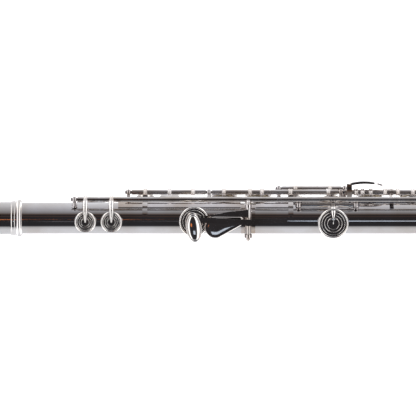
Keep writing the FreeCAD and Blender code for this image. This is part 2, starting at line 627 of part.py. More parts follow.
def posts():
    """Every row of posts, and the steels that stay still while their keys turn."""
    rows = [
        ("main_posts", "main", ["main_first_post", "main_second_post", "main_third_post", "main_last_post"]),
        ("trill_posts", "trill", ["trill_first_post", "trill_last_post"]),
        ("offset_posts", "offset", ["offset_first_post", "offset_last_post"]),
        ("gsharp_posts", "gsharp", ["gsharp_first_post", "gsharp_last_post"]),
    ]
    for label, rod_name, stations in rows:
        standing = [post("%s_%d" % (label, index), rod_name, at) for index, at in enumerate(stations)]
        seat(group(label + "_row", standing), label)
    foot_row = [post("foot_near_%d" % index, "footnear", at)
                for index, at in enumerate(("footnear_first_post", "footnear_last_post"))]
    foot_row += [post("foot_far_%d" % index, "footfar", at)
                 for index, at in enumerate(("footfar_first_post", "footfar_last_post"))]
    seat(group("foot_posts_row", foot_row), "foot_posts")
    steels = [
        ("csharp_steel", "main", "main_first_post", "main_second_post"),
        ("right_stack_steel", "main", "main_third_post", "main_last_post"),
        ("offset_g_steel", "offset", "offset_first_post", "offset_last_post"),
        ("gsharp_steel", "gsharp", "gsharp_first_post", "gsharp_last_post"),
        ("foot_dsharp_steel", "footnear", "footnear_first_post", "footnear_last_post"),
    ]
    for label, rod_name, first, last in steels:
        still_steel(label, rod_name, first, last)


def still_steel(label, rod_name, first, last):
    """A hinge steel, or pivot, held in the posts at both ends of a row."""
    angle = "%s_angle" % rod_name
    distance = "%s_distance" % rod_name
    steel = rod(label + "_rod", "steel_radius", first, last,
                "%s * cos(%s)" % (distance, angle), "%s * sin(%s)" % (distance, angle))
    steel.setExpression("Height", bound("%s - %s + 2 * steel_overhang" % (last, first)))
    steel.setExpression("Placement.Base.x", bound("%s - steel_overhang - foot_end" % first))
    steel.Label = label
    finished.append(steel)


# Keys

def bar_between(name, station, points, width, thickness):
    """A strip through three points of the YZ plane, in a rod's frame."""
    face = arc_strip(*points, thickness)
    face.translate(FreeCAD.Vector(station - width / 2, 0, 0))
    return shaped(name, face.extrude(FreeCAD.Vector(width, 0, 0)))


def in_rod_frame(place, distance, line):
    """A point given by its distance from the bore and its angle, as (across, up) in a key's frame."""
    angle = math.radians(line)
    point = place.inverse().multVec(FreeCAD.Vector(0, distance * math.cos(angle), distance * math.sin(angle)))
    return point.y, point.z


def trill_touch(name, station, place):
    """The arm that passes under the main rod, and its small touch between the right hand keys."""
    distance = number("trill_arm_distance")
    start = (0, 0)
    under = in_rod_frame(place, distance, number("main_angle") + 6)
    rise = in_rod_frame(place, distance + 0.6, 18)
    arm = bar_between(name + "_arm", station, (start, under, rise), 2.6, number("trill_arm_thickness"))
    seat_point = in_rod_frame(place, distance + 1.2, 14)
    stalk_top = in_rod_frame(place, distance + 5.4, 14)
    stalk = Part.makeCylinder(1.1, 5.4, FreeCAD.Vector(station, *in_rod_frame(place, distance, 14)),
                              FreeCAD.Vector(0, stalk_top[0] - seat_point[0], stalk_top[1] - seat_point[1]))
    plate = Part.makeCylinder(3.1, number("touch_thickness"), FreeCAD.Vector(station, *stalk_top),
                              FreeCAD.Vector(0, stalk_top[0] - seat_point[0], stalk_top[1] - seat_point[1]))
    return [arm, shaped(name + "_touch", stalk.fuse(plate))]


def trill_keys():
    """Two closed keys on one line: the nearer one's tube turns on the farther one's steel."""
    d_place = on_rod("trill", "trill_line")
    hinged_key(
        "d_trill_key", "trill", "trill_line", "0", [("trill_split + end_play", "d_trill_touch + 4")],
        [("d_trill_station", "trill_cup")], ["d_trill_station"],
        trill_touch("d_trill", number("d_trill_touch"), d_place), 2.6)
    hinged_key(
        "dsharp_trill_key", "trill", "trill_line", "0",
        [("trill_first_post + post_ball", "trill_split"),
         ("d_trill_touch + 4 + end_play", "trill_last_post - post_ball")],
        [("dsharp_trill_station", "trill_cup")], ["dsharp_trill_station"],
        trill_touch("dsharp_trill", number("dsharp_trill_touch"), d_place), 2.6,
        ("trill_first_post - steel_overhang", "trill_last_post + steel_overhang"))


def left_hand_keys():
    """C-sharp with its index touch and kicker, B-flat with its arm, A, and the offset pair."""
    place = on_rod("main", "main_line", "csharp_open_angle")
    index_radius = number("index_touch_radius")
    across = number(reach("main", "main_line"))
    top = number(above("main", "main_line", "rim_distance + 3"))
    plate = Part.makeCylinder(index_radius, number("touch_thickness"),
                              FreeCAD.Vector(number("index_touch_station"), across, top))
    dished = Part.makeSphere(18, FreeCAD.Vector(number("index_touch_station"), across,
                                               top + number("touch_thickness") + 17.4))
    touch = shaped("index_touch", plate.cut(dished))
    arm = bar_between("index_arm", number("index_touch_station"), (
        (0, 0), bulged((0, 0), (across, top + 0.4), 1.4), (across, top + 0.4)), number("arm_width"), 0.7)
    hinged_key(
        "csharp_key", "main", "main_line", "csharp_open_angle",
        [("main_first_post + post_ball", "main_second_post - post_ball")],
        [("csharp_station", "csharp_cup")], ["csharp_station", "thumb_station - 0.6", "index_touch_station"],
        [touch, arm, kicker("csharp_kicker", "csharp_station", place, "kicker_end")], 1.2)
    place = on_rod("main", "main_line", "open_angle")
    hinged_key(
        "bflat_key", "main", "main_line", "open_angle",
        [("main_second_post + post_ball", "a_station - 6.8"), ("a_station + 7.4", "main_third_post - post_ball")],
        [("bflat_station", "main_cup")], ["bflat_station", "b_kicker_station", "b_kicker_station + 24"],
        [kicker("bflat_kicker", "b_kicker_station", place, "b_kicker_end")], 1.2,
        ("main_second_post + steel_overhang + end_play", "main_third_post - steel_overhang - end_play"))
    hinged_key(
        "a_key", "main", "main_line", "open_angle",
        [("a_station - 6.8 + end_play", "a_station + 7.4 - end_play")],
        [("a_station", "main_cup")], ["a_station - 5.4", "a_station + 2.2"], bulge=1.2)
    hinged_key(
        "g_key", "offset", "offset_line", "open_angle",
        [("offset_first_post + post_ball", "offset_last_post - post_ball")],
        [("g_first_station", "main_cup"), ("g_second_station", "main_cup")],
        ["g_first_station", "g_second_station - 1"], bulge=1.2)


def right_hand_keys():
    """The stack of four on one steel."""
    splits = ["main_third_post + post_ball", "fsharp_station + 12.5", "f_station + 12.8", "e_station + 13.2",
              "main_last_post - post_ball"]
    for index, key in enumerate(("fsharp", "f", "e", "d")):
        first = splits[index] + " + end_play"
        last = splits[index + 1]
        station = key + "_station"
        hinged_key(key + "_key", "main", "main_line", "open_angle", [(first, last)],
                   [(station, "main_cup")], [station, first + " + 1", last + " - 1"], bulge=1.2)


def gsharp_key():
    """The closed key at the back, with its curved touch on the far side of both rods."""
    place = on_rod("gsharp", "gsharp_line")
    station = number("gsharp_arm_station")
    start = (0, 0)
    middle = in_rod_frame(place, number("gsharp_bend_distance"), number("gsharp_bend_angle"))
    end = in_rod_frame(place, number("gsharp_touch_distance"), number("gsharp_touch_angle"))
    arm = bar_between("gsharp_touch_arm", station, (start, middle, end), number("arm_width"),
                      number("arm_thickness"))
    hinged_key("gsharp_key", "gsharp", "gsharp_line", "0",
               [("gsharp_first_post + post_ball", "gsharp_last_post - post_ball")],
               [("gsharp_station", "gsharp_cup")], ["gsharp_station", "gsharp_arm_station"],
               [arm, gsharp_touch(place)], 3.6)


def gsharp_touch(place):
    """A long arched plate for the little finger."""
    first = number("gsharp_arm_station") - number("arm_width") / 2
    length = number("gsharp_touch_length") + number("arm_width") / 2
    width = number("gsharp_touch_width")
    rise = number("gsharp_touch_rise")
    thick = number("gsharp_touch_thickness")
    top = Part.Arc(FreeCAD.Vector(first, 0, 0), FreeCAD.Vector(first + length / 2, 0, rise),
                   FreeCAD.Vector(first + length, 0, -0.4))
    bottom = Part.Arc(FreeCAD.Vector(first + length, 0, -0.4 - thick * 0.7),
                      FreeCAD.Vector(first + length / 2, 0, rise - thick), FreeCAD.Vector(first, 0, -thick))
    edges = [top.toShape(), Part.makeLine(top.EndPoint, bottom.StartPoint), bottom.toShape(),
             Part.makeLine(bottom.EndPoint, top.StartPoint)]
    slab = Part.Face(Part.Wire(edges)).extrude(FreeCAD.Vector(0, width, 0))
    outline = Part.BSplineCurve()
    outline.interpolate([FreeCAD.Vector(first + length * along, width * across, -10) for along, across in (
        (0.0, 0.35), (0.12, 0.86), (0.5, 0.98), (0.85, 0.9), (0.995, 0.5), (0.85, 0.1), (0.5, 0.03), (0.12, 0.1))],
        PeriodicFlag=True)
    column = Part.Face(Part.Wire(outline.toShape())).extrude(FreeCAD.Vector(0, 0, 20))
    plate = slab.common(column)
    spot = in_rod_frame(place, number("gsharp_touch_distance"), number("gsharp_touch_angle"))
    turn = FreeCAD.Rotation(ROUND_THE_BORE, number("gsharp_touch_facing") - number("gsharp_line"))
    plate.Placement = FreeCAD.Placement(FreeCAD.Vector(0, *spot), turn).multiply(
        FreeCAD.Placement(FreeCAD.Vector(0, -number("arm_thickness"), 0), FreeCAD.Rotation()))
    return shaped("gsharp_touch", plate)


# Thumb keys: their frame has its origin on the bore's axis and +Z towards the thumb

def thumb_frame(lift="0"):
    """The thumb line's frame, with its keys turned about their own axle by `lift`."""
    pivot = FreeCAD.Vector(number("axle_station"), 0, number("axle_distance"))
    turn = FreeCAD.Placement(FreeCAD.Vector(), FreeCAD.Rotation(FreeCAD.Vector(0, 1, 0), number(lift)), pivot)
    return facing("thumb_line").multiply(turn)


def crosswise(name, radius, first, last, station, distance):
    """A round bar that lies across the tube."""
    return primitive("Cylinder", name, {"Radius": radius, "Height": "(%s) - (%s)" % (last, first)},
                     (station, first, distance), ACROSS)


def seat_turned(piece, label, lift):
    """Seat a thumb piece, whose lift about the axle also moves it along the bore."""
    frame = thumb_frame(lift)
    piece.Placement = frame
    shift = frame.Base.x
    piece.setExpression("Placement.Base.x", bound("%.6f - foot_end" % shift))
    piece.Label = label
    finished.append(piece)


def lever_bar(name, outline, bottom, thickness):
    """A straight-edged lever: a closed outline in plan, with its upright edges rounded."""
    corners = [FreeCAD.Vector(along, across, bottom) for along, across in outline]
    bar = Part.Face(Part.makePolygon(corners + corners[:1])).extrude(FreeCAD.Vector(0, 0, thickness))
    return shaped(name, bar)


def thumb_keys():
    """The B key with its cup and teardrop touch, and the B-flat lever that hooks over the cup."""
    axle = number("axle_station")
    height = number("lever_height")
    thick = number("lever_thickness")
    cup = number("thumb_station")
    metal, rings, pockets = cup_parts("thumb_cup", "thumb_station", "thumb_cup", "0", "rim_distance")
    barrel = "key_tube + 0.1"
    b_tube = crosswise("thumb_b_tube", barrel, "axle_split + end_play", "ear_reach - ear_width / 2 - end_play",
                       "axle_station", "axle_distance")
    b_bar = lever_bar("thumb_b_bar", [
        (cup + 3, 3.2), (axle - 10, 6.4), (axle, 7.6), (axle, 2.6), (axle - 10, 3.4), (cup + 3, -1.5)],
        height + 0.1, thick)
    touch = teardrop("thumb_b_touch", (axle - 21, -3.5, 6.6), (axle - 5.8, 0.2, 2.6), height + 1.15)
    neck = lever_bar("thumb_b_neck", [
        (axle - 14, 2), (axle - 14, 5.2), (axle - 7, 7), (axle - 7, 3)], height + 0.4, 1.2)
    bore = crosswise("thumb_b_bore", "axle_radius + hinge_clearance", "-axle_half_length", "axle_half_length",
                     "axle_station", "axle_distance")
    topped = cut("thumb_b_ringed", fuse("thumb_b_metal", metal), rings)
    plain = cut("thumb_b_drilled", fuse("thumb_b_bars", [topped, b_tube, b_bar, neck]), pockets + [bore])
    seat_turned(fuse("thumb_b_key", [plain, touch]), "thumb_b_key", "thumb_open_angle")
    felt = group("thumb_felts", [pad_disc("thumb_felt", "thumb_station", "thumb_cup", "0", "rim_distance")])
    seat_turned(felt, "thumb_pad", "thumb_open_angle")

    tube = crosswise("bflat_lever_tube", barrel, "-ear_reach + ear_width / 2 + end_play", "axle_split",
                     "axle_station", "axle_distance")
    tail = lever_bar("bflat_lever_tail", [
        (axle, 1.9), (number("tail_end"), 1.6), (number("tail_end"), -1.2), (axle, -2.4)], height - 1.2, thick)
    shank = lever_bar("bflat_lever_shank", [
        (axle, 1.8), (axle, -2.4), (axle - 6, -1.6), (cup + 1, 0.4), (cup + 1, 3.6), (axle - 6, 2)],
        number("hook_height") - 0.3, thick)
    riser = lever_bar("bflat_lever_riser", [
        (axle + 1.4, 1.8), (axle + 1.4, -2.4), (axle - 1.4, -2.4), (axle - 1.4, 1.8)],
        number("axle_distance"), number("hook_height") - number("axle_distance") + thick - 0.3)
    hook = oval_touch("bflat_lever_touch", (cup - 0.4, -3.4), (8.6, 4.6), number("hook_height"), 97)
    bore = crosswise("bflat_lever_bore", "axle_radius + hinge_clearance", "-axle_half_length",
                     "axle_half_length", "axle_station", "axle_distance")
    lever = cut("bflat_lever_drilled", fuse("bflat_lever_bars", [tube, tail, riser, shank]), [bore])
    seat_turned(fuse("thumb_bflat_lever", [lever, hook]), "thumb_bflat_lever", "thumb_open_angle")


def thumb_saddle():
    """The curved plate on the tube whose two eared balls carry the thumb axle."""
    outside = "bore_radius + tube_wall"
    band = sheath("saddle_band", outside + " + saddle_thickness", outside,
                  "axle_station - saddle_length / 2", "axle_station + saddle_length / 2")
    keep = block("saddle_keep", ("saddle_length", "2 * ear_reach - 1", "14"),
                 ("axle_station - saddle_length / 2", "0.5 - ear_reach", "0"))
    sector = doc.addObject("Part::Common", "saddle_sector")
    sector.Base = band
    sector.Tool = keep
    pieces = [sector]
    for name, side in (("upper", "1"), ("lower", "-1")):
        middle = "%s * ear_reach" % side
        pieces.append(block("saddle_%s_ear" % name, ("4", "ear_width", "axle_distance - 2.6"),
                            ("axle_station - 2", "%s - ear_width / 2" % middle, "2.6")))
        pieces.append(crosswise("saddle_%s_eye" % name, "2.5", "%s - ear_width / 2" % middle,
                                "%s + ear_width / 2" % middle, "axle_station", "axle_distance"))
    tools = [
        rod("saddle_tube", outside, "axle_station - 9", "axle_station + 9"),
        crosswise("saddle_drill", "axle_radius + hinge_clearance", "-axle_half_length - 2",
                  "axle_half_length + 2", "axle_station", "axle_distance")]
    seat(cut("thumb_saddle", fuse("saddle_whole", pieces), tools), "thumb_saddle", facing("thumb_line"))
    pin = crosswise("thumb_axle_pin", "axle_radius", "-axle_half_length", "axle_half_length",
                    "axle_station", "axle_distance")
    knobs = [ball("axle_knob_%d" % index, "axle_knob", ("axle_station", "%s * axle_half_length" % side,
                                                        "axle_distance"))
             for index, side in enumerate(("1", "-1"))]
    seat(fuse("thumb_axle", [pin] + knobs), "thumb_axle", facing("thumb_line"))


def foot_keys():
    """D-sharp on the near rod; C-sharp on the far rod, turning on the steel of the C key."""
    place = on_rod("footnear", "main_line")
    touch = oval_touch("foot_dsharp_touch", (496, -8), (7, 4.2), 0.9)
    arm = bar_between("foot_dsharp_lever", 492.8, ((0, 0), (-3.6, 1.3), (-7.4, 1.5)), 3, 0.9)
    hinged_key("foot_dsharp_key", "footnear", "main_line", "0",
               [("footnear_first_post + post_ball", "footnear_last_post - post_ball")],
               [("foot_dsharp_station", "foot_cup")], ["footnear_first_post + 3", "footnear_last_post - 3"],
               [touch, arm], 1.4)
    top = number(above("footfar", "main_line", "rim_distance + 2.6"))
    c_plate = oval_touch("foot_c_touch", (505, -16.2), (3.9, 3.4), top)
    c_arm = bar_between("foot_c_lever", 505, ((0, 0), bulged((0, 0), (-14, top + 0.7), 1.6), (-14, top + 0.7)),
                        3.2, 1.2)
    cs_plate = oval_touch("foot_csharp_touch", (507, -24), (5.6, 3.3), top)
    cs_arm = lever_bar("foot_csharp_lever", [(508, -21.4), (517, -17.5), (519, -18.5), (510, -24.5)], top, 1.2)
    hinged_key("foot_c_key", "footfar", "main_line", "-open_angle",
               [("footfar_first_post + post_ball", "foot_csharp_station - 11"),
                ("foot_csharp_station + 11", "footfar_last_post - post_ball")],
               [("foot_c_station", "foot_cup")], ["foot_c_station"], [c_plate, c_arm], 1.3,
               ("footfar_first_post - steel_overhang", "footfar_last_post + steel_overhang"))
    hinged_key("foot_csharp_key", "footfar", "main_line", "-open_angle",
               [("foot_csharp_station - 11 + end_play", "foot_csharp_station + 11 - end_play")],
               [("foot_csharp_station", "foot_cup")], ["foot_csharp_station"], [cs_plate, cs_arm], 1.3)


body_joint()
head_joint()
foot_joint()
posts()
trill_keys()
left_hand_keys()
right_hand_keys()
gsharp_key()
thumb_saddle()
thumb_keys()
foot_keys()
doc.recompute()

for thing in doc.Objects:
    if {"Invalid", "Error"} & set(thing.State):
        raise RuntimeError("%s failed: %s" % (thing.Label, thing.State))
for piece in finished:
    if piece.Shape.isNull() or not piece.Shape.isValid() or not piece.Shape.Solids:
        raise RuntimeError("%s has no valid solid" % piece.Label)
os.makedirs("parts", exist_ok=True)
for piece in finished:
    piece.Shape.exportStep("parts/%s.step" % piece.Label)
    print(piece.Label, len(piece.Shape.Solids), round(piece.Shape.Volume, 1))
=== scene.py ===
import math

import bmesh
import bpy
from mathutils import Matrix, Vector


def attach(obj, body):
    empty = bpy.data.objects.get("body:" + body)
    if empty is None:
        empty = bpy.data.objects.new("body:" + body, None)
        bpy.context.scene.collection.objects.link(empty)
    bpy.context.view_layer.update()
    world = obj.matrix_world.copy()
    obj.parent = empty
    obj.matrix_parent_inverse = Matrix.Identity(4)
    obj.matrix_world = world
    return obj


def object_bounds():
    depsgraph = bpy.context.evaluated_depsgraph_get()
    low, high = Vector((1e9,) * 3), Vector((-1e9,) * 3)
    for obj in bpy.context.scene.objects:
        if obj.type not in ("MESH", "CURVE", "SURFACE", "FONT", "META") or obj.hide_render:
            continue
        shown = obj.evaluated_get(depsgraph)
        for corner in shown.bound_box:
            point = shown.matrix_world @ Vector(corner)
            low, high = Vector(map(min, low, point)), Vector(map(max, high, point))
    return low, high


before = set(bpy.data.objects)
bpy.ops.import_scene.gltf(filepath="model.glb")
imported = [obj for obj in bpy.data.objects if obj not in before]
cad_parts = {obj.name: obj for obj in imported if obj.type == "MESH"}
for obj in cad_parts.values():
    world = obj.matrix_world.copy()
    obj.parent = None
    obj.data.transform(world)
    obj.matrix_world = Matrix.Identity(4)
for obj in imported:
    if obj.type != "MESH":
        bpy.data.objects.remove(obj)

# A silver-plated concert flute, looked at from the player's side over its trill and thumb keys.
# +X runs from the crown to the foot, +Y is the line of the main tone holes, +Z the player's side.

CAD_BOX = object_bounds()
MM = 0.001
FLOOR = CAD_BOX[0][2]
# Places along the flute are millimetres from the middle of the embouchure hole; the open foot end is here
FOOT_END = 592


# Materials

def new_material(name):
    """A node material with its output and a Principled shader joined up."""
    material = bpy.data.materials.new(name)
    material.use_nodes = True
    return material, material.node_tree.nodes, material.node_tree.links


def noise(nodes, links, scale, detail, stretch=(1, 1, 1), roughness=0.5):
    """Noise on the piece's own coordinates, stretched by a Mapping."""
    place = nodes.new("ShaderNodeTexCoord")
    turn = nodes.new("ShaderNodeMapping")
    turn.inputs["Scale"].default_value = stretch
    links.new(place.outputs["Object"], turn.inputs["Vector"])
    texture = nodes.new("ShaderNodeTexNoise")
    texture.inputs["Scale"].default_value = scale
    texture.inputs["Detail"].default_value = detail
    texture.inputs["Roughness"].default_value = roughness
    links.new(turn.outputs["Vector"], texture.inputs["Vector"])
    return texture.outputs["Fac"]


def ramp(nodes, links, value, stops):
    """A colour ramp; each stop is (place, colour)."""
    band = nodes.new("ShaderNodeValToRGB")
    band.color_ramp.elements[0].position = stops[0][0]
    band.color_ramp.elements[0].color = stops[0][1]
    band.color_ramp.elements[1].position = stops[-1][0]
    band.color_ramp.elements[1].color = stops[-1][1]
    for place, colour in stops[1:-1]:
        band.color_ramp.elements.new(place).color = colour
    links.new(value, band.inputs["Fac"])
    return band.outputs["Color"]


def spread(nodes, links, value, low, high):
    """Stretch a 0.3 to 0.7 noise over a wanted range."""
    change = nodes.new("ShaderNodeMapRange")
    change.inputs["From Min"].default_value = 0.3
    change.inputs["From Max"].default_value = 0.7
    change.inputs["To Min"].default_value = low
    change.inputs["To Max"].default_value = high
    links.new(value, change.inputs["Value"])
    return change.outputs["Result"]


def raised(nodes, links, height, strength, depth):
    """A normal that follows the height given, in metres of depth."""
    bump = nodes.new("ShaderNodeBump")
    bump.inputs["Strength"].default_value = strength
    bump.inputs["Distance"].default_value = depth
    links.new(height, bump.inputs["Height"])
    return bump.outputs["Normal"]


def plated(name, bright, tarnish, smooth, worn, wipe, ripple=0.05):
    """Polished plate: a cloudy tarnish, wiping marks along `wipe`, and a very faint ripple; lighter copies
    serve as painted highlight and darker ones as painted shade.
    """
    material, nodes, links = new_material(name)
    shader = nodes["Principled BSDF"]
    shader.inputs["Metallic"].default_value = 1
    clouds = noise(nodes, links, 60, 4)
    shade = ramp(nodes, links, clouds, [(0.35, bright + (1,)), (0.75, tarnish + (1,))])
    links.new(shade, shader.inputs["Base Color"])
    marks = noise(nodes, links, 900, 3, wipe)
    links.new(spread(nodes, links, marks, smooth, worn), shader.inputs["Roughness"])
    waves = noise(nodes, links, 45, 1)
    links.new(raised(nodes, links, waves, ripple, 0.0006), shader.inputs["Normal"])
    return material


def steel_in_painted_shade(name):
    """Ground steel with a straw and blue temper, kept dark partly as painted shade in the crowded mechanism.
    """
    material, nodes, links = new_material(name)
    shader = nodes["Principled BSDF"]
    shader.inputs["Metallic"].default_value = 1
    temper = noise(nodes, links, 160, 3)
    shade = ramp(nodes, links, temper, [(0.3, (0.12, 0.13, 0.2, 1)), (0.55, (0.3, 0.27, 0.25, 1)),
                                        (0.8, (0.42, 0.41, 0.42, 1))])
    links.new(shade, shader.inputs["Base Color"])
    grind = noise(nodes, links, 1500, 2, (0.1, 1, 1))
    links.new(spread(nodes, links, grind, 0.18, 0.34), shader.inputs["Roughness"])
    links.new(raised(nodes, links, grind, 0.1, 0.00003), shader.inputs["Normal"])
    return material


def pad_skin(name):
    """Fish skin stretched over felt: cream, faintly mottled and dimpled by the felt below."""
    material, nodes, links = new_material(name)
    shader = nodes["Principled BSDF"]
    shader.inputs["Coat Weight"].default_value = 0.3
    shader.inputs["Coat Roughness"].default_value = 0.35
    mottle = noise(nodes, links, 260, 5)
    shade = ramp(nodes, links, mottle, [(0.3, (0.62, 0.5, 0.33, 1)), (0.7, (0.82, 0.74, 0.58, 1))])
    links.new(shade, shader.inputs["Base Color"])
    felt = noise(nodes, links, 2200, 4)
    links.new(spread(nodes, links, felt, 0.45, 0.7), shader.inputs["Roughness"])
    links.new(raised(nodes, links, felt, 0.4, 0.0001), shader.inputs["Normal"])
    return material


def natural_cork(name):
    """Cork with its dark lenticels."""
    material, nodes, links = new_material(name)
    shader = nodes["Principled BSDF"]
    grain = noise(nodes, links, 420, 6)
    shade = ramp(nodes, links, grain, [(0.32, (0.12, 0.06, 0.03, 1)), (0.42, (0.42, 0.26, 0.13, 1)),
                                       (0.7, (0.6, 0.41, 0.23, 1))])
    links.new(shade, shader.inputs["Base Color"])
    links.new(spread(nodes, links, grain, 0.9, 0.7), shader.inputs["Roughness"])
    links.new(raised(nodes, links, grain, 0.6, 0.0002), shader.inputs["Normal"])
    return material


ALONG = (0.08, 1, 1)
EVEN = (1, 1, 1)
TUBE_SILVER = plated("tube_silver", (0.72, 0.715, 0.73), (0.62, 0.585, 0.56), 0.035, 0.075, ALONG, 0.03)
# Rings, socket and the thumb touches' edges: a lighter copy of the plate, painted highlight on these parts.
RING_HIGHLIGHT_SILVER = plated("ring_highlight_silver", (0.88, 0.87, 0.87), (0.72, 0.68, 0.64), 0.03, 0.08, EVEN, 0.04)
# Cup beads: a near-white, rougher copy of the plate, painted highlight for the bright rim rings.
BEAD_HIGHLIGHT_SILVER = plated("bead_highlight_silver", (0.97, 0.96, 0.955), (0.86, 0.82, 0.77), 0.16, 0.26, EVEN, 0.04)
KEY_SILVER = plated("key_silver", (0.8, 0.785, 0.79), (0.55, 0.48, 0.42), 0.025, 0.07, EVEN, 0.04)
ROD_SILVER = plated("rod_silver", (0.74, 0.72, 0.74), (0.5, 0.42, 0.35), 0.05, 0.11, ALONG, 0.05)
CROWN_SILVER = plated("crown_silver", (0.84, 0.83, 0.84), (0.66, 0.62, 0.57), 0.06, 0.14, EVEN, 0.05)
LIP_SILVER = plated("lip_silver", (0.84, 0.83, 0.83), (0.66, 0.6, 0.54), 0.07, 0.2, EVEN, 0.05)
# Pointed arms: a near-white, rougher copy of the plate, painted highlight that keeps the arms bright white.
ARM_HIGHLIGHT_SILVER = plated("arm_highlight_silver", (0.97, 0.96, 0.955), (0.84, 0.8, 0.76), 0.22, 0.34, EVEN, 0.05)
# Posts and their ball ends: a darker copy of the plate, painted shade for the dark look of the balls.
POST_SHADE_SILVER = plated("post_shade_silver", (0.56, 0.54, 0.55), (0.34, 0.29, 0.26), 0.05, 0.1, EVEN, 0.05)
# Both steels are darkened partly as painted shade between the keys, partly by their temper colours.
STEEL = steel_in_painted_shade("hinge_steel")
DARK_STEEL = steel_in_painted_shade("spring_steel")
PAD_SKIN = pad_skin("pad_skin")
CORK = natural_cork("natural_cork")

FINISH = {
    "body_tube": TUBE_SILVER, "head_tube": TUBE_SILVER, "foot_tube": TUBE_SILVER, "barrel": TUBE_SILVER,
    "barrel_rings": RING_HIGHLIGHT_SILVER, "foot_socket": RING_HIGHLIGHT_SILVER, "foot_end_ring": RING_HIGHLIGHT_SILVER,
    "crown": CROWN_SILVER, "lip_plate": LIP_SILVER, "riser": LIP_SILVER, "stopper": ROD_SILVER,
    "left_hand_rib": ROD_SILVER, "right_hand_rib": ROD_SILVER, "thumb_saddle": ROD_SILVER,
    "thumb_axle": KEY_SILVER, "head_cork": CORK,
}


def finish_nodes():
    """Give every CAD node its finish."""
    for name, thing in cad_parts.items():
        if name in FINISH:
            material = FINISH[name]
        elif name.endswith(("_pad", "_pads")):
            material = PAD_SKIN
        elif name.endswith("_steel"):
            material = STEEL
        elif name.endswith("_posts"):
            material = POST_SHADE_SILVER
        else:
            material = KEY_SILVER
        thing.data.materials.clear()
        thing.data.materials.append(material)


# Where the keys stand, as on the metal below them

ROD = {"main": (16.4, 42.5), "trill": (16.2, 86), "offset": (19.5, 26), "gsharp": (12.9, 92.7),
       "footnear": (15.6, 56), "footfar": (15.6, -48)}
RIM_DISTANCE = 12.1
CUP_TOP = 2.6
THUMB_LINE = 140
THUMB_LIFT = 3.6
AXLE = (296.3, 13.4)


def key_frame(rod_name, line, lift=0):
    """Millimetre frame on a rod's axis whose +Z faces the line of its tone hole."""
    distance, angle = ROD[rod_name]
    angle = math.radians(angle)
    middle = (-FOOT_END, distance * math.cos(angle), distance * math.sin(angle))
    return (Matrix.Scale(MM, 4) @ Matrix.Translation(middle)
            @ Matrix.Rotation(math.radians(line - 90 + lift), 4, "X"))


def thumb_frame(lift=0):
    """Millimetre frame on the bore's axis whose +Z faces the thumb, turned about the thumb keys' axle."""
    pivot = Matrix.Translation((AXLE[0], 0, AXLE[1]))
    return (Matrix.Scale(MM, 4) @ Matrix.Translation((-FOOT_END, 0, 0))
            @ Matrix.Rotation(math.radians(THUMB_LINE - 90), 4, "X")
            @ pivot @ Matrix.Rotation(math.radians(lift), 4, "Y") @ pivot.inverted())


def cup_middle(rod_name, line):
    """Across and up from the rod to the top of the cup's skirt."""
    distance, angle = ROD[rod_name]
    swing = math.radians(line - angle)
    return -distance * math.sin(swing), RIM_DISTANCE + CUP_TOP - distance * math.cos(swing)


# Shapes

def finish_piece(name, shape, body, material, smooth=True):
    """Turn a bmesh, already in the frame's metres, into a piece that rides a body."""
    bmesh.ops.recalc_face_normals(shape, faces=shape.faces)
    for face in shape.faces:
        face.smooth = smooth
    mesh = bpy.data.meshes.new(name)
    shape.to_mesh(mesh)
    shape.free()
    piece = bpy.data.objects.new(name, mesh)
    piece.data.materials.append(material)
    bpy.context.collection.objects.link(piece)
    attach(piece, body)
    return piece


def add_rings(shape, axes, rings, closed, caps=False):
    """Skin a run of rings, each a list of points in the given axes' millimetres."""
    rows = [[shape.verts.new(axes @ Vector(point)) for point in ring] for ring in rings]
    pairs = list(zip(rows, rows[1:]))
    if closed:
        pairs.append((rows[-1], rows[0]))
    for first, second in pairs:
        count = len(first)
        for index in range(count):
            after = (index + 1) % count
            shape.faces.new((first[index], first[after], second[after], second[index]))
    if caps:
        shape.faces.new(rows[0])
        shape.faces.new(rows[-1])


def add_bead(shape, axes, middle, radius, thick, squash=1.0, turns=64, sides=12):
    """A rounded wire laid in a ring round +Z."""
    rings = []
    for turn in range(turns):
        way = 2 * math.pi * turn / turns
        ring = []
        for side in range(sides):
            round_wire = 2 * math.pi * side / sides
            out = radius + thick * math.cos(round_wire)
            ring.append((middle[0] + out * math.cos(way), middle[1] + out * math.sin(way),
                         middle[2] + thick * squash * math.sin(round_wire)))
        rings.append(ring)
    add_rings(shape, axes, rings, True)


def add_wire(shape, axes, path, up, thick, sides=8):
    """A closed rounded wire along a flat outline of (along, across) points at height `up`."""
    count = len(path)
    rings = []
    for index, (along, across) in enumerate(path):
        before = path[index - 1]
        after = path[(index + 1) % count]
        run = math.hypot(after[0] - before[0], after[1] - before[1])
        out = ((after[1] - before[1]) / run, -(after[0] - before[0]) / run)
        ring = []
        for side in range(sides):
            way = 2 * math.pi * side / sides
            reach = thick * math.cos(way)
            ring.append((along + out[0] * reach, across + out[1] * reach, up + thick * math.sin(way)))
        rings.append(ring)
    add_rings(shape, axes, rings, True)


def oval_path(middle, halves, turn, count=56):
    """An oval outline, turned in its plane."""
    turn = math.radians(turn)
    path = []
    for step in range(count):
        way = 2 * math.pi * step / count
        along = halves[0] * math.cos(way)
        across = halves[1] * math.sin(way)
        path.append((middle[0] + along * math.cos(turn) - across * math.sin(turn),
                     middle[1] + along * math.sin(turn) + across * math.cos(turn)))
    return path


